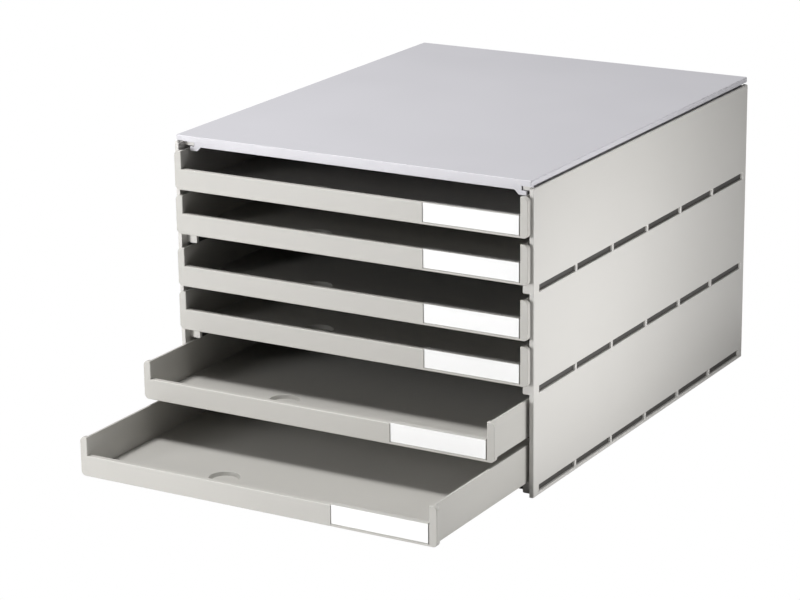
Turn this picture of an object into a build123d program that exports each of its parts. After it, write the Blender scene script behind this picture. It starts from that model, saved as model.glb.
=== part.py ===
# Desk file box in moulded plastic, with six shallow drawers in three pairs.
#
# Two side panels carry twelve runners. A top cover hooks onto the panels, two thin
# shelves and a base panel tie the deep runners together, and a back panel closes
# the rear. Each drawer is a one-piece tray with a low front wall, a clear label
# window folded over that wall, and a blank card behind the window.
#
# Frame, in millimetres: X to the right, Y to the rear, Z up. The origin is the
# centre of the side panels' footprint, on the desk. Drawers are numbered from the
# top, and the two lowest stand pulled out.

from build123d import *

import os

os.makedirs("parts", exist_ok=True)

# Case
CASE_WIDTH = 330.0  # over the two side panels
CASE_DEPTH = 404.0  # side panel, front edge to rear edge
PAIRS = 3  # pairs of drawers, one above another
PANEL_THICK = 3.8
PANEL_EDGE_ROUND = 0.9  # round along the outer arris of a side panel
PANEL_REAR_ROUND = 5.0  # lower rear corner
PANEL_TOP_ROUND = 2.0  # both upper corners
REBATE_LIP = 1.0  # outer lip beside the rebate in the top of a side panel
REBATE_DEPTH = 2.0
REBATE_INSET = 2.0  # from either end of the panel

# Slot rows in the side panels, one beside each deep runner
SLOTS = 6
SLOT_RIB = 3.0  # rib left between two slots
SLOT_SILL = 3.0  # from the runner's underside to the slot
SLOT_HEIGHT = 5.3
SLOT_BEVEL = 0.5
SLOT_FRONT = 9.3  # from the panel's front edge to the first slot
SLOT_REAR = 7.7  # from the last slot to the panel's rear edge

# Runners
RUNNER_WIDTH = 9.8  # from the side panel's inner face
DEEP_RUNNER_HEIGHT = 11.3  # under the lower drawer of a pair
THIN_RUNNER_HEIGHT = 3.4  # under the upper drawer of a pair
RUNNER_ROUND = 1.2  # lower inner corner of a deep runner
DEEP_TONGUE = 1.8  # how far a deep runner stands into its groove
DEEP_TONGUE_HEIGHT = 8.3
THIN_TONGUE = 1.2
THIN_TONGUE_HEIGHT = 1.8
LUG_FRONT = 7.5  # from the panel's front edge to the lug before a deep runner
LUG_THICK = 3.0
TONGUE_LEAD = 0.9  # groove and tongue start this much ahead of the first slot

# Drawers
BODY_HEIGHT = 31.0  # tray, underside to the top of its walls
WALL_THICK = 1.9
FLOOR_THICK = 1.9
SIDE_GAP = 2.8  # between a tray's wall and the side panel
RUNNER_GAP = 0.3  # between a tray and its runner
TOP_CLEARANCE = 2.6  # above the lower tray's walls
PAIR_CLEARANCE = 2.1  # above the upper tray's walls
REAR_GAP = 4.0  # between a closed tray and the back panel
TRAY_CORNER = 4.0  # upright rear corners of the tray
WALL_EDGE_ROUND = 0.3

# Drawer front
FRONT_THICK = 4.2
FRONT_GAP = 1.0  # between a closed front and the side panels' front edges
FRONT_INSET = 2.6  # front's end, inside the side panel's outer face
FRONT_DROP = 1.2  # front's lower edge, below the tray's underside
FRONT_RISE = 0.4  # front's upper ends, above the tray's walls
SILL_HEIGHT = 17.4  # low middle part, from the front's lower edge
JAMB_WIDTH = 6.7  # full-height part at each end
FRONT_CORNER = 4.0  # the front's four outer corners
FRONT_EDGE_ROUND = 0.7

# Finger dish in the tray's floor
DISH_OFFSET = 55.0  # left of the middle
DISH_BACK = 39.5  # behind the front's rear face
DISH_RADIUS = 12.5
DISH_DEPTH = 3.0
DISH_SLOPE = 1.4  # how far the dish's wall leans in, from rim to bottom
DISH_RIM_ROUND = 0.5
DISH_WALL = 1.3  # thickness under the dish

# Pull-out stops
TRAVEL = 290.0  # how far a drawer pulls out
STOP_PLAY = 0.5
STOP_FRONT = 14.0  # from the panel's front edge to the stop on the panel
STOP_LENGTH = 6.0
STOP_HEIGHT = 12.0
STOP_ABOVE = 9.0  # above the tray's underside
PANEL_STOP = 1.8  # how far the stop stands off the panel
TRAY_STOP = 2.0  # how far the stop stands off the tray's wall

# Label
LABEL_WIDTH = 86.0
LABEL_LIP = 1.8  # ledge under the label
LABEL_RECESS = 1.0
LABEL_SLOT_DEPTH = 2.6  # deeper slot at the recess's right-hand end
WINDOW_THICK = 0.6
WINDOW_PLAY = 0.1  # between the window and the card, the sill and the wall
WINDOW_LEFT_GAP = 0.3
WINDOW_RIGHT_GAP = 1.0
WINDOW_TAIL = 5.0  # leg behind the front wall
CARD_THICK = 0.3
CARD_MARGIN = 0.2  # inside the window's two ends
CARD_LIFT = 0.4  # above the ledge

# Top cover
COVER_THICK = 4.4
COVER_INSET = 1.9  # cover's side, inside the side panel's outer face
COVER_FRONT = 0.3  # ahead of the side panels
COVER_REAR = 2.6  # behind the side panels
COVER_CORNER = 1.2
COVER_EDGE_ROUND = 0.6
COVER_GAP = 1.3  # open joint between cover and side panel
LIP_THICK = 2.4
LIP_SETBACK = 7.5  # from the cover's front edge
LIP_DROP = 6.1
CHANNEL_WEB = 2.4
CHANNEL_GAP = 0.4  # above the arm, and beside the side panel
CHANNEL_SIDE_GAP = 1.0  # between the web and the hook flange
CHANNEL_ARM = 1.3
CHANNEL_REACH = 3.1  # lower arm, outwards from the runner's inner side
FOOT_HEIGHT = 3.6  # foot of the lip, under the hook flange
FOOT_SLOPE = 3.7  # slanted step between lip and foot, along X
COVER_RIBS = 5
COVER_RIB_THICK = 1.6
COVER_RIB_DROP = 2.4

# Hook flange along the top of each side panel
HOOK_FRONT = 8.2  # from the panel's front edge
HOOK_THICK = 3.0
HOOK_BELOW_TOP = 1.4
HOOK_LIFT = 0.4  # above the top pair

# Shelves, base and back
SHELF_THICK = 2.4
SHELF_TONGUE = 1.8
SHELF_GROOVE = 2.0
SHELF_GROOVE_PLAY = 0.2
SHELF_FRONT = 30.0  # from the panels' front edge
BASE_FRONT = 14.0
RIM_WIDTH = 8.0
BASE_RIBS = 3
BASE_RIB_THICK = 2.0
BASE_RIB_LIFT = 0.8  # ribs end this far above the desk
BACK_THICK = 2.4
BACK_INSET = 4.0  # from the panels' rear edge
BACK_TONGUE = 1.5
BACK_FIELD_DEPTH = 0.8
BACK_FIELD_MARGIN = 14.0
BACK_FIELD_CORNER = 6.0
BACK_TOP_GAP = 1.6  # under the top cover

# How far the two lowest drawers stand pulled out
PULLED_5 = 54.0
PULLED_6 = 143.5
pulled_out = {5: PULLED_5, 6: PULLED_6}

# Places along X, for the right-hand side
half_width = CASE_WIDTH / 2
panel_inner = half_width - PANEL_THICK
runner_inner = panel_inner - RUNNER_WIDTH
body_half = panel_inner - SIDE_GAP
front_half = half_width - FRONT_INSET
opening_half = front_half - JAMB_WIDTH
cover_half = half_width - COVER_INSET

# Places along Y
front_edge = -CASE_DEPTH / 2
rear_edge = CASE_DEPTH / 2
back_outer = rear_edge - BACK_INSET
back_inner = back_outer - BACK_THICK
lug_start = front_edge + LUG_FRONT
runner_start = lug_start + LUG_THICK
hook_start = front_edge + HOOK_FRONT
tongue_start = front_edge + SLOT_FRONT - TONGUE_LEAD
closed_face = front_edge - FRONT_GAP - FRONT_THICK
closed_body = front_edge - FRONT_GAP
body_length = back_inner - REAR_GAP - closed_body
panel_stop_rear = front_edge + STOP_FRONT + STOP_LENGTH

# Places along Z
drawer_pitch = BODY_HEIGHT + TOP_CLEARANCE + THIN_RUNNER_HEIGHT + RUNNER_GAP
lower_body = DEEP_RUNNER_HEIGHT + RUNNER_GAP
pair_height = lower_body + drawer_pitch + BODY_HEIGHT + PAIR_CLEARANCE
hook_bottom = PAIRS * pair_height + HOOK_LIFT
hook_top = hook_bottom + HOOK_THICK
panel_top = hook_top + HOOK_BELOW_TOP
cover_bottom = panel_top + COVER_GAP
cover_top = cover_bottom + COVER_THICK
arm_top = hook_bottom - CHANNEL_GAP
arm_bottom = arm_top - CHANNEL_ARM
foot_bottom = arm_top - FOOT_HEIGHT
lip_bottom = cover_bottom - LIP_DROP
shelf_lift = SLOT_SILL
tongue_bottom = SLOT_SILL + SLOT_HEIGHT / 2 - DEEP_TONGUE_HEIGHT / 2

# Drawer front and label, from the front's lower edge
front_height = FRONT_DROP + BODY_HEIGHT + FRONT_RISE
label_left = opening_half - LABEL_WIDTH
window_left = label_left + WINDOW_LEFT_GAP
window_right = opening_half - WINDOW_RIGHT_GAP


def save(node, name):
    """Label a finished piece and write it under its node's name."""
    node.part.label = name
    export_step(node.part, f"parts/{name}.step")


def pair_of(drawer):
    """Pairs are counted from the bottom, drawers from the top."""
    return PAIRS - 1 - (drawer - 1) // 2


def is_upper(drawer):
    return drawer % 2 == 1


def body_bottom(drawer):
    """Underside of a drawer's tray."""
    lift = drawer_pitch if is_upper(drawer) else 0.0
    return pair_of(drawer) * pair_height + lower_body + lift


def block(x, y, z, mode=Mode.ADD):
    """Box between two values along each axis."""
    middle = ((x[0] + x[1]) / 2, (y[0] + y[1]) / 2, (z[0] + z[1]) / 2)
    with Locations(middle):
        Box(x[1] - x[0], y[1] - y[0], z[1] - z[0], mode=mode)


# Side panels -----------------------------------------------------------------


def cut_slots(row_bottom):
    """One row of bevelled slots through the outer wall."""
    length = (CASE_DEPTH - SLOT_FRONT - SLOT_REAR - (SLOTS - 1) * SLOT_RIB) / SLOTS
    middle = front_edge + SLOT_FRONT + (SLOTS * length + (SLOTS - 1) * SLOT_RIB) / 2
    height = row_bottom + SLOT_SILL + SLOT_HEIGHT / 2
    row = [(middle + (i - (SLOTS - 1) / 2) * (length + SLOT_RIB), height) for i in range(SLOTS)]
    with BuildSketch(Plane.YZ.offset(half_width)) as slots:
        with Locations(*row):
            Rectangle(length, SLOT_HEIGHT)
    extrude(slots.sketch, amount=-PANEL_THICK, mode=Mode.SUBTRACT)
    with BuildSketch(Plane.YZ.offset(half_width)) as bevels:
        with Locations(*row):
            Rectangle(length + 2 * SLOT_BEVEL, SLOT_HEIGHT + 2 * SLOT_BEVEL)
    extrude(bevels.sketch, amount=-SLOT_BEVEL, taper=45, mode=Mode.SUBTRACT)


def add_lug(row_bottom):
    """Block in front of a deep runner, rounded like the runner."""
    height = row_bottom + DEEP_RUNNER_HEIGHT / 2
    with BuildSketch(Plane.XZ.offset(-lug_start)) as lug:
        with Locations(((runner_inner + panel_inner) / 2, height)):
            Rectangle(RUNNER_WIDTH, DEEP_RUNNER_HEIGHT)
        inner_corner = lug.vertices().group_by(Axis.X)[0].sort_by(Axis.Y)[0]
        fillet(inner_corner, radius=RUNNER_ROUND)
    extrude(lug.sketch, amount=-LUG_THICK)


with BuildPart() as side_panel_right:
    with BuildSketch(Plane.YZ.offset(panel_inner)) as panel_outline:
        with Locations((0, panel_top / 2)):
            Rectangle(CASE_DEPTH, panel_top)
        upper = panel_outline.vertices().group_by(Axis.Y)[-1]
        lower_rear = panel_outline.vertices().group_by(Axis.Y)[0].sort_by(Axis.X)[-1]
        fillet(upper, radius=PANEL_TOP_ROUND)
        fillet(lower_rear, radius=PANEL_REAR_ROUND)
    extrude(amount=PANEL_THICK)
    fillet(side_panel_right.faces().sort_by(Axis.X)[-1].edges(), radius=PANEL_EDGE_ROUND)
    for pair in range(PAIRS):
        cut_slots(pair * pair_height)
        add_lug(pair * pair_height)
        groove_bottom = pair * pair_height + tongue_bottom
        block(
            (panel_inner, panel_inner + DEEP_TONGUE),
            (tongue_start, back_inner),
            (groove_bottom, groove_bottom + DEEP_TONGUE_HEIGHT),
            mode=Mode.SUBTRACT,
        )
    for drawer in range(1, 2 * PAIRS + 1):
        underside = body_bottom(drawer)
        block(
            (panel_inner - PANEL_STOP, panel_inner),
            (front_edge + STOP_FRONT, panel_stop_rear),
            (underside + STOP_ABOVE, underside + STOP_ABOVE + STOP_HEIGHT),
        )
        if is_upper(drawer):
            groove_middle = underside - RUNNER_GAP - THIN_RUNNER_HEIGHT / 2
            block(
                (panel_inner, panel_inner + THIN_TONGUE),
                (runner_start, back_inner),
                (groove_middle - THIN_TONGUE_HEIGHT / 2, groove_middle + THIN_TONGUE_HEIGHT / 2),
                mode=Mode.SUBTRACT,
            )
    block((runner_inner, panel_inner), (hook_start, back_inner), (hook_bottom, hook_top))
    block(
        (panel_inner, half_width - REBATE_LIP),
        (front_edge + REBATE_INSET, rear_edge - REBATE_INSET),
        (panel_top - REBATE_DEPTH, panel_top),
        mode=Mode.SUBTRACT,
    )
    block(
        (panel_inner, panel_inner + BACK_TONGUE),
        (back_inner, back_outer),
        (0, panel_top),
        mode=Mode.SUBTRACT,
    )
save(side_panel_right, "side_panel_right")

with BuildPart() as side_panel_left:
    mirror(side_panel_right.part, about=Plane.YZ)
save(side_panel_left, "side_panel_left")


# Runners ---------------------------------------------------------------------

for drawer in range(1, 2 * PAIRS + 1):
    runner_top = body_bottom(drawer) - RUNNER_GAP
    with BuildPart() as runner_right:
        if is_upper(drawer):
            runner_bottom = runner_top - THIN_RUNNER_HEIGHT
            tongue_low = (runner_top + runner_bottom - THIN_TONGUE_HEIGHT) / 2
            block((runner_inner, panel_inner), (runner_start, back_inner), (runner_bottom, runner_top))
            block(
                (panel_inner, panel_inner + THIN_TONGUE),
                (runner_start, back_inner),
                (tongue_low, tongue_low + THIN_TONGUE_HEIGHT),
            )
        else:
            runner_bottom = runner_top - DEEP_RUNNER_HEIGHT
            groove_low = runner_bottom + shelf_lift
            tongue_low = runner_bottom + tongue_bottom
            with BuildSketch(Plane.XZ.offset(-runner_start)) as section:
                with Locations(((runner_inner + panel_inner) / 2, (runner_bottom + runner_top) / 2)):
                    Rectangle(RUNNER_WIDTH, DEEP_RUNNER_HEIGHT)
                inner_corner = section.vertices().group_by(Axis.X)[0].sort_by(Axis.Y)[0]
                fillet(inner_corner, radius=RUNNER_ROUND)
            extrude(amount=runner_start - back_inner)
            block(
                (panel_inner, panel_inner + DEEP_TONGUE),
                (tongue_start, back_inner),
                (tongue_low, tongue_low + DEEP_TONGUE_HEIGHT),
            )
            block(
                (runner_inner, runner_inner + SHELF_GROOVE),
                (runner_start, back_inner),
                (groove_low, groove_low + SHELF_THICK + SHELF_GROOVE_PLAY),
                mode=Mode.SUBTRACT,
            )
    save(runner_right, f"runner_right_{drawer}")

    with BuildPart() as runner_left:
        mirror(runner_right.part, about=Plane.YZ)
    save(runner_left, f"runner_left_{drawer}")


# Shelves, base and back --------------------------------------------------------


def shelf_plate(lift, start):
    """Thin plate whose two edges stand in the grooves of a pair of deep runners."""
    reach = runner_inner + SHELF_TONGUE
    block((-reach, reach), (start, back_inner), (lift, lift + SHELF_THICK))


for pair, name in ((1, "shelf_lower"), (2, "shelf_upper")):
    with BuildPart() as shelf:
        shelf_plate(pair * pair_height + shelf_lift, front_edge + SHELF_FRONT)
    save(shelf, name)

with BuildPart() as base_panel:
    base_start = front_edge + BASE_FRONT
    rim_width = 2 * (runner_inner - SHELF_GROOVE_PLAY)
    rim_depth = back_inner - base_start
    rim_middle = (back_inner + base_start) / 2
    shelf_plate(shelf_lift, base_start)
    with BuildSketch():
        with Locations((0, rim_middle)):
            Rectangle(rim_width, rim_depth)
            Rectangle(rim_width - 2 * RIM_WIDTH, rim_depth - 2 * RIM_WIDTH, mode=Mode.SUBTRACT)
    extrude(amount=shelf_lift)
    rib_height = shelf_lift - BASE_RIB_LIFT
    with Locations((0, rim_middle, BASE_RIB_LIFT + rib_height / 2)):
        with GridLocations(rim_width / (BASE_RIBS + 1), 0, BASE_RIBS, 1):
            Box(BASE_RIB_THICK, rim_depth - RIM_WIDTH, rib_height)
        with GridLocations(0, rim_depth / (BASE_RIBS + 1), 1, BASE_RIBS):
            Box(rim_width - RIM_WIDTH, BASE_RIB_THICK, rib_height)
save(base_panel, "base_panel")

with BuildPart() as back_panel:
    back_half = panel_inner + BACK_TONGUE
    block((-back_half, back_half), (back_inner, back_outer), (0, cover_bottom - BACK_TOP_GAP))
    field_height = pair_height - BACK_FIELD_MARGIN
    for pair in range(PAIRS):
        with BuildSketch(Plane.XZ.offset(-back_outer)):
            with Locations((0, (pair + 0.5) * pair_height)):
                RectangleRounded(2 * (panel_inner - BACK_FIELD_MARGIN), field_height, BACK_FIELD_CORNER)
        extrude(amount=BACK_FIELD_DEPTH, mode=Mode.SUBTRACT)
save(back_panel, "back_panel")


# Top cover ---------------------------------------------------------------------

cover_front = front_edge - COVER_FRONT
cover_rear = rear_edge + COVER_REAR
lip_face = cover_front + LIP_SETBACK
web_outer = runner_inner - CHANNEL_SIDE_GAP
web_inner = web_outer - CHANNEL_WEB
arm_outer = runner_inner + CHANNEL_REACH
rail_outer = panel_inner - CHANNEL_GAP

with BuildPart() as top_cover:
    block((-cover_half, cover_half), (cover_front, cover_rear), (cover_bottom, cover_top))
    fillet(top_cover.edges().filter_by(Axis.Z), radius=COVER_CORNER)
    fillet(top_cover.faces().sort_by(Axis.Z)[-1].edges(), radius=COVER_EDGE_ROUND)
    with BuildSketch(Plane.XZ.offset(-lip_face)) as lip:
        with BuildLine():
            half_lip = Polyline(
                (0, lip_bottom),
                (web_inner - FOOT_SLOPE, lip_bottom),
                (web_inner, foot_bottom),
                (arm_outer, foot_bottom),
                (arm_outer, arm_top),
                (web_outer, arm_top),
                (web_outer, hook_top),
                (rail_outer, hook_top),
                (rail_outer, cover_bottom),
                (0, cover_bottom),
            )
            mirror(half_lip, about=Plane.YZ)
        make_face()
    extrude(amount=-LIP_THICK)
    block(
        (-web_inner, web_inner),
        (rear_edge - LIP_THICK, rear_edge),
        (arm_bottom, cover_bottom),
    )
    for side in (-1, 1):
        with BuildSketch(Plane.XZ.offset(-lip_face)):
            for inner, outer, low, high in (
                (web_inner, web_outer, arm_bottom, cover_bottom),
                (web_inner, arm_outer, arm_bottom, arm_top),
                (web_inner, rail_outer, hook_top, cover_bottom),
            ):
                with Locations((side * (inner + outer) / 2, (low + high) / 2)):
                    Rectangle(outer - inner, high - low)
        extrude(amount=lip_face - back_inner)
    with Locations((0, 0, cover_bottom - COVER_RIB_DROP / 2)):
        with GridLocations(0, CASE_DEPTH / (COVER_RIBS + 1), 1, COVER_RIBS):
            Box(2 * web_inner, COVER_RIB_THICK, COVER_RIB_DROP)
save(top_cover, "top_cover")


# Drawers -----------------------------------------------------------------------


def build_tray(underside, face):
    """Tray and front in one piece, with the front's outer face at y = face."""
    body_start = face + FRONT_THICK
    body_rear = body_start + body_length
    front_bottom = underside - FRONT_DROP
    floor_top = underside + FLOOR_THICK
    wall_top = underside + BODY_HEIGHT
    inner_half = body_half - WALL_THICK
    with BuildPart() as tray:
        block((-body_half, body_half), (body_start, body_rear), (underside, wall_top))
        fillet(tray.edges().filter_by(Axis.Z).group_by(Axis.Y)[-1], radius=TRAY_CORNER)
        with BuildSketch(Plane.XY.offset(floor_top)) as inside:
            with Locations((0, (face + body_rear - WALL_THICK) / 2)):
                Rectangle(2 * inner_half, body_rear - WALL_THICK - face)
            fillet(inside.vertices().group_by(Axis.Y)[-1], radius=TRAY_CORNER - WALL_THICK)
        extrude(amount=BODY_HEIGHT, mode=Mode.SUBTRACT)
        fillet(tray.faces().sort_by(Axis.Z)[-1].edges(), radius=WALL_EDGE_ROUND)

        with BuildSketch(Plane.XZ.offset(-face)) as front:
            with Locations((0, front_bottom + front_height / 2)):
                RectangleRounded(2 * front_half, front_height, FRONT_CORNER)
            with Locations((0, front_bottom + front_height)):
                Rectangle(2 * opening_half, 2 * (front_height - SILL_HEIGHT), mode=Mode.SUBTRACT)
        extrude(amount=-FRONT_THICK)
        fillet(tray.faces().sort_by(Axis.Y)[0].edges(), radius=FRONT_EDGE_ROUND)

        label_heights = (front_bottom + LABEL_LIP, front_bottom + SILL_HEIGHT)
        block(
            (label_left, opening_half),
            (face, face + LABEL_RECESS),
            label_heights,
            mode=Mode.SUBTRACT,
        )
        block(
            (window_right, opening_half),
            (face, face + LABEL_SLOT_DEPTH),
            label_heights,
            mode=Mode.SUBTRACT,
        )

        dish_y = body_start + DISH_BACK
        dish_drop = DISH_DEPTH + DISH_WALL - FLOOR_THICK
        with Locations((-DISH_OFFSET, dish_y, underside - dish_drop / 2)):
            Cone(DISH_RADIUS, DISH_RADIUS + DISH_SLOPE, dish_drop)
        with Locations((-DISH_OFFSET, dish_y, floor_top - DISH_DEPTH / 2)):
            Cone(DISH_RADIUS - DISH_SLOPE, DISH_RADIUS, DISH_DEPTH, mode=Mode.SUBTRACT)
        dish_rim = Vector(-DISH_OFFSET + DISH_RADIUS, dish_y, floor_top)
        fillet(tray.edges().sort_by_distance(dish_rim)[0], radius=DISH_RIM_ROUND)

        stop_start = panel_stop_rear + STOP_PLAY + TRAVEL + face - closed_face
        for side in (-1, 1):
            with Locations(
                (
                    side * (body_half + TRAY_STOP / 2),
                    stop_start + STOP_LENGTH / 2,
                    underside + STOP_ABOVE + STOP_HEIGHT / 2,
                )
            ):
                Box(TRAY_STOP, STOP_LENGTH, STOP_HEIGHT)
    return tray


def build_window(underside, face):
    """Clear strip folded over the front wall, in front of the card."""
    front_bottom = underside - FRONT_DROP
    sill = front_bottom + SILL_HEIGHT
    sill_rest = sill + WINDOW_PLAY
    pane_rear = face + LABEL_RECESS - CARD_THICK - WINDOW_PLAY
    pane_front = pane_rear - WINDOW_THICK
    tail_front = face + FRONT_THICK + WINDOW_PLAY
    tail_rear = tail_front + WINDOW_THICK
    with BuildPart() as window:
        with BuildSketch(Plane.YZ.offset(window_left)):
            with BuildLine():
                Polyline(
                    (pane_front, front_bottom + LABEL_LIP),
                    (pane_rear, front_bottom + LABEL_LIP),
                    (pane_rear, sill_rest),
                    (tail_front, sill_rest),
                    (tail_front, sill - WINDOW_TAIL),
                    (tail_rear, sill - WINDOW_TAIL),
                    (tail_rear, sill_rest + WINDOW_THICK),
                    (pane_front, sill_rest + WINDOW_THICK),
                    close=True,
                )
            make_face()
        extrude(amount=window_right - window_left)
    return window


def build_card(underside, face):
    """Blank card in the recess, behind the window."""
    front_bottom = underside - FRONT_DROP
    with BuildPart() as card:
        block(
            (window_left + CARD_MARGIN, window_right - CARD_MARGIN),
            (face + LABEL_RECESS - CARD_THICK, face + LABEL_RECESS),
            (front_bottom + LABEL_LIP + CARD_LIFT, front_bottom + SILL_HEIGHT),
        )
    return card


for drawer in range(1, 2 * PAIRS + 1):
    place = (body_bottom(drawer), closed_face - pulled_out.get(drawer, 0.0))
    save(build_tray(*place), f"drawer_tray_{drawer}")
    save(build_window(*place), f"label_window_{drawer}")
    save(build_card(*place), f"label_card_{drawer}")
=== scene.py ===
import math

import bpy
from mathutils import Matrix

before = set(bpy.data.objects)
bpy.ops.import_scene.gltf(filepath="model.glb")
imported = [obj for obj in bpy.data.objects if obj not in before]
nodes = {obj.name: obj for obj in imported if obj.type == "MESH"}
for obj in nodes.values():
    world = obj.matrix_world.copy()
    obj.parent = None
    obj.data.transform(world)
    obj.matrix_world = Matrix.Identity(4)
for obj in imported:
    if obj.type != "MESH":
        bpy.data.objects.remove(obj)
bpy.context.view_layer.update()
DRAWERS = range(1, 7)


# The top cover: one flat injection-moulded plate in light grey polystyrene, with a
# lip at the front and a channel down each side that slides over the side panels.
# The tool's face was spark-eroded, which gives a dry, even, very fine grain.
COVER_GREY = "#C8C7CC"
COVER_ROUGHNESS = 0.52
POLYSTYRENE_IOR = 1.59
GRAIN_MM = 0.9  # real spark-eroded grain is about 0.2 mm, too fine to show at this distance
GRAIN_DEPTH_MM = 0.012
GRAIN_STRENGTH = 0.5
FLOW_MM = 70.0  # size of the faint clouds that the flowing plastic leaves
CLOUD_SHARE = 0.018  # how far a cloud is paler or darker than the plastic's own grey
SHEEN_SWING = 0.03  # how far a cloud changes the roughness, up and down
METRE_MM = 1000.0


def linear(colour):
    """sRGB hex to the linear colour that a shader socket takes."""
    channels = [int(colour[i : i + 2], 16) / 255 for i in (1, 3, 5)]
    return [c / 12.92 if c <= 0.04045 else ((c + 0.055) / 1.055) ** 2.4 for c in channels] + [1.0]


def add(tree, kind, settings=None, **links):
    """Adds a node. settings are its own properties, links its inputs: values or other sockets."""
    node = tree.nodes.new(kind)
    for name, value in (settings or {}).items():
        setattr(node, name, value)
    for name, value in links.items():
        numbered = name[1:].isdigit()
        socket = node.inputs[int(name[1:]) if numbered else name.replace("_", " ")]
        if isinstance(value, bpy.types.NodeSocket):
            tree.links.new(value, socket)
        else:
            socket.default_value = value
    return node


def moulded_plastic(name, colour, roughness):
    """Injection-moulded polystyrene with a spark-eroded grain."""
    material = bpy.data.materials.new(name)
    material.use_nodes = True
    tree = material.node_tree
    tree.nodes.clear()
    place = add(tree, "ShaderNodeTexCoord").outputs["Object"]
    flow = add(
        tree,
        "ShaderNodeTexNoise",
        Vector=place,
        Scale=METRE_MM / FLOW_MM,
        Detail=2.0,
        Roughness=0.4,
    )
    base = linear(colour)
    paler = [min(1.0, c * (1 + CLOUD_SHARE)) for c in base[:3]] + [1.0]
    darker = [c * (1 - CLOUD_SHARE) for c in base[:3]] + [1.0]
    tint = add(
        tree,
        "ShaderNodeMix",
        {"data_type": "RGBA"},
        _0=flow.outputs["Fac"],
        _6=darker,
        _7=paler,
    )
    sheen = add(
        tree,
        "ShaderNodeMapRange",
        Value=flow.outputs["Fac"],
        To_Min=roughness - SHEEN_SWING,
        To_Max=roughness + SHEEN_SWING,
    )
    grain = add(
        tree,
        "ShaderNodeTexNoise",
        Vector=place,
        Scale=METRE_MM / GRAIN_MM,
        Detail=3.0,
        Roughness=0.6,
    )
    relief = add(
        tree,
        "ShaderNodeBump",
        Strength=GRAIN_STRENGTH,
        Distance=GRAIN_DEPTH_MM / METRE_MM,
        Height=grain.outputs["Fac"],
    )
    skin = add(
        tree,
        "ShaderNodeBsdfPrincipled",
        Base_Color=tint.outputs[2],
        Roughness=sheen.outputs["Result"],
        IOR=POLYSTYRENE_IOR,
        Normal=relief.outputs["Normal"],
    )
    add(tree, "ShaderNodeOutputMaterial", Surface=skin.outputs["BSDF"])
    return material


def finish_with(piece, material):
    """Gives every face of a piece one material."""
    piece.data.materials.clear()
    piece.data.materials.append(material)
    for face in piece.data.polygons:
        face.material_index = 0


cover_plastic = moulded_plastic("cover_polystyrene", COVER_GREY, COVER_ROUGHNESS)
finish_with(nodes["top_cover"], cover_plastic)


# The side panels and the back: full-height mouldings, the side ones with three rows
# of slots and hooked into the cover's channels. Same polystyrene as the cover, but a
# slightly warmer grey, from a tool with a slightly smoother face.
PANEL_GREY = "#C6C4C0"
PANEL_ROUGHNESS = 0.48

panel_plastic = moulded_plastic("panel_polystyrene", PANEL_GREY, PANEL_ROUGHNESS)
for side in ("left", "right"):
    finish_with(nodes[f"side_panel_{side}"], panel_plastic)
finish_with(nodes["back_panel"], panel_plastic)


# The runners, on which the drawers slide, the two shelves and the base: polystyrene
# painted dark grey as painted shade for the shadow inside the case. It darkens the
# drawers' insides and shows through the slots of the side panels as a dark line.
RUNNER_PAINTED_SHADE_GREY = "#383633"
RUNNER_ROUGHNESS = 0.42

runner_painted_shade = moulded_plastic("runner_polystyrene_painted_shade", RUNNER_PAINTED_SHADE_GREY, RUNNER_ROUGHNESS)
for drawer in DRAWERS:
    for side in ("left", "right"):
        finish_with(nodes[f"runner_{side}_{drawer}"], runner_painted_shade)
for name in ("shelf_lower", "shelf_upper", "base_panel"):
    finish_with(nodes[name], runner_painted_shade)


# The drawers: each is one moulding, tray and front together, in the case's light
# grey with the same dry grain.
DRAWER_GREY = "#B6B4AF"
DRAWER_ROUGHNESS = 0.5

drawer_plastic = moulded_plastic("drawer_polystyrene", DRAWER_GREY, DRAWER_ROUGHNESS)
for drawer in DRAWERS:
    finish_with(nodes[f"drawer_tray_{drawer}"], drawer_plastic)


# The label cards: blank strips of smooth white card, cut to the recess.
CARD_WHITE = "#FAFAFA"
CARD_ROUGHNESS = 0.85
FIBRE_MM = 0.5  # real fibres are about 0.02 mm thick, too fine to show at this distance
FIBRE_DEPTH_MM = 0.02
FIBRE_STRENGTH = 0.3

card_paper = bpy.data.materials.new("white_index_card")
card_paper.use_nodes = True
paper_tree = card_paper.node_tree
paper_tree.nodes.clear()
fibre = add(
    paper_tree,
    "ShaderNodeTexNoise",
    Vector=add(paper_tree, "ShaderNodeTexCoord").outputs["Object"],
    Scale=METRE_MM / FIBRE_MM,
    Detail=4.0,
)
fibre_relief = add(
    paper_tree,
    "ShaderNodeBump",
    Strength=FIBRE_STRENGTH,
    Distance=FIBRE_DEPTH_MM / METRE_MM,
    Height=fibre.outputs["Fac"],
)
paper = add(
    paper_tree,
    "ShaderNodeBsdfPrincipled",
    Base_Color=linear(CARD_WHITE),
    Roughness=CARD_ROUGHNESS,
    Normal=fibre_relief.outputs["Normal"],
)
add(paper_tree, "ShaderNodeOutputMaterial", Surface=paper.outputs["BSDF"])
for drawer in DRAWERS:
    finish_with(nodes[f"label_card_{drawer}"], card_paper)


# The label windows: strips of clear polystyrene, folded over the front wall to hold
# the card. Nearly invisible face on, with a soft gloss. The sawn right-hand end is
# painted dark grey as painted shade for the shadow in the gap beside the jamb.
WINDOW_CLEAR = "#FDFDFD"
WINDOW_ALPHA = 0.06
WINDOW_ROUGHNESS = 0.12
END_PAINTED_SHADE_GREY = "#5E5E5E"
SAWN_ROUGHNESS = 0.6
END_FACING = 0.9  # a face whose normal lies this much along X is the right-hand end

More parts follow.
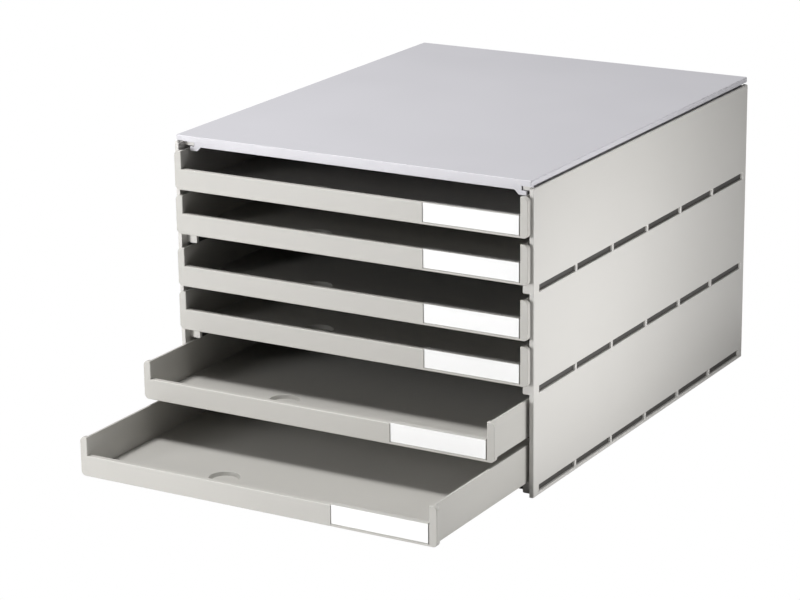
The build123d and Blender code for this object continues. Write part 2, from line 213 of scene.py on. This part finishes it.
window_plastic = bpy.data.materials.new("clear_polystyrene")
window_plastic.use_nodes = True
window_tree = window_plastic.node_tree
window_tree.nodes.clear()
clear = add(
    window_tree,
    "ShaderNodeBsdfPrincipled",
    Base_Color=linear(WINDOW_CLEAR),
    Roughness=WINDOW_ROUGHNESS,
    IOR=POLYSTYRENE_IOR,
    Alpha=WINDOW_ALPHA,
)
add(window_tree, "ShaderNodeOutputMaterial", Surface=clear.outputs["BSDF"])
window_plastic.surface_render_method = "BLENDED"

# The sawn end's dark grey is painted shade, for the shadow beside the jamb.
window_end_painted_shade = bpy.data.materials.new("clear_polystyrene_end_painted_shade")
window_end_painted_shade.use_nodes = True
end_shade_tree = window_end_painted_shade.node_tree
end_shade_tree.nodes.clear()
end_shade_bsdf = add(
    end_shade_tree,
    "ShaderNodeBsdfPrincipled",
    Base_Color=linear(END_PAINTED_SHADE_GREY),
    Roughness=SAWN_ROUGHNESS,
)
add(end_shade_tree, "ShaderNodeOutputMaterial", Surface=end_shade_bsdf.outputs["BSDF"])
for drawer in DRAWERS:
    window = nodes[f"label_window_{drawer}"]
    finish_with(window, window_plastic)
    window.data.materials.append(window_end_painted_shade)
    for face in window.data.polygons:
        if face.normal.x > END_FACING:
            face.material_index = 1


# The table: a plain pale sheet that throws light back up at the object. To the eye
# it is pure white without a shadow, as a cut-out photograph has it.
TABLE_SIZE = 14.0
TABLE_DROP = 0.0002  # keeps its face clear of the undersides that stand on it
TABLE_WHITE = "#E0E0E0"
SEEN_WHITE = 1.0  # the strength at which a glowing surface reads as white

bpy.ops.mesh.primitive_plane_add(size=TABLE_SIZE, location=(0.0, 0.0, -TABLE_DROP))
table = bpy.context.object
table.name = "table"
table_white = bpy.data.materials.new("table_white")
table_white.use_nodes = True
table_tree = table_white.node_tree
table_tree.nodes.clear()
rays = add(table_tree, "ShaderNodeLightPath").outputs
sheet = add(table_tree, "ShaderNodeBsdfDiffuse", Color=linear(TABLE_WHITE))
glow = add(table_tree, "ShaderNodeEmission", Strength=SEEN_WHITE)
table_surface = add(
    table_tree,
    "ShaderNodeMixShader",
    _0=rays["Is Camera Ray"],
    _1=sheet.outputs[0],
    _2=glow.outputs[0],
)
add(table_tree, "ShaderNodeOutputMaterial", Surface=table_surface.outputs[0])
table.data.materials.append(table_white)


# The studio: a dim white room with two soft lights at the front left, a strong one
# near the table and a weak one higher up that reaches into the drawers, one light
# high above, and a small one on the right that brightens the front of that side.
ROOM_LIGHT = 0.11
ROOM_WHITE = (1.0, 1.0, 1.0, 1.0)
AIM = (0.0, -0.05, 0.10)
LAMPS = {  # place in metres, side of the square in metres, power in watts
    "lamp_front_left": ((-0.75, -1.50, 0.25), 0.3, 15.0),
    "lamp_front_low": ((-0.80, -1.47, 0.68), 0.25, 2.5),
    "lamp_above": ((-0.45, -0.35, 1.9), 0.5, 33.0),
    "lamp_right": ((0.54, -0.12, 0.15), 0.2, 1.35),
}

room = bpy.data.worlds.new("room")
bpy.context.scene.world = room
room.use_nodes = True
room_tree = room.node_tree
room_tree.nodes.clear()
room_rays = add(room_tree, "ShaderNodeLightPath").outputs
room_seen = add(
    room_tree,
    "ShaderNodeMath",
    {"operation": "MAXIMUM"},
    _0=room_rays["Is Camera Ray"],
    _1=room_rays["Is Transmission Ray"],
)
room_strength = add(
    room_tree,
    "ShaderNodeMix",
    {"data_type": "FLOAT"},
    _0=room_seen.outputs[0],
    _2=ROOM_LIGHT,
    _3=SEEN_WHITE,
)
backdrop = add(
    room_tree,
    "ShaderNodeBackground",
    Color=ROOM_WHITE,
    Strength=room_strength.outputs[0],
)
add(room_tree, "ShaderNodeOutputWorld", Surface=backdrop.outputs[0])

for name, (place, size, power) in LAMPS.items():
    light = bpy.data.lights.new(name, "AREA")
    light.size = size
    light.energy = power
    lamp = bpy.data.objects.new(name, light)
    lamp.location = place
    towards = [a - b for a, b in zip(AIM, place)]
    flat = math.hypot(towards[0], towards[1])
    tilt = math.atan2(flat, -towards[2])
    heading = math.atan2(-towards[0], towards[1])
    lamp.rotation_euler = (tilt, 0.0, heading)
    bpy.context.collection.objects.link(lamp)


# The camera: a long lens to the right of the drawers, a little above them.
CAMERA_PLACE = (1.1216, -2.0344, 0.7963)
CAMERA_TURN = (72.97, 0.717, 30.193)  # degrees
LENS_MM = 126.8
SENSOR_MM = 36.0

lens = bpy.data.cameras.new("camera")
lens.lens = LENS_MM
lens.sensor_width = SENSOR_MM
camera = bpy.data.objects.new("camera", lens)
camera.location = CAMERA_PLACE
camera.rotation_euler = [math.radians(angle) for angle in CAMERA_TURN]
bpy.context.collection.objects.link(camera)
bpy.context.scene.camera = camera
bpy.context.scene.view_settings.view_transform = "Standard"
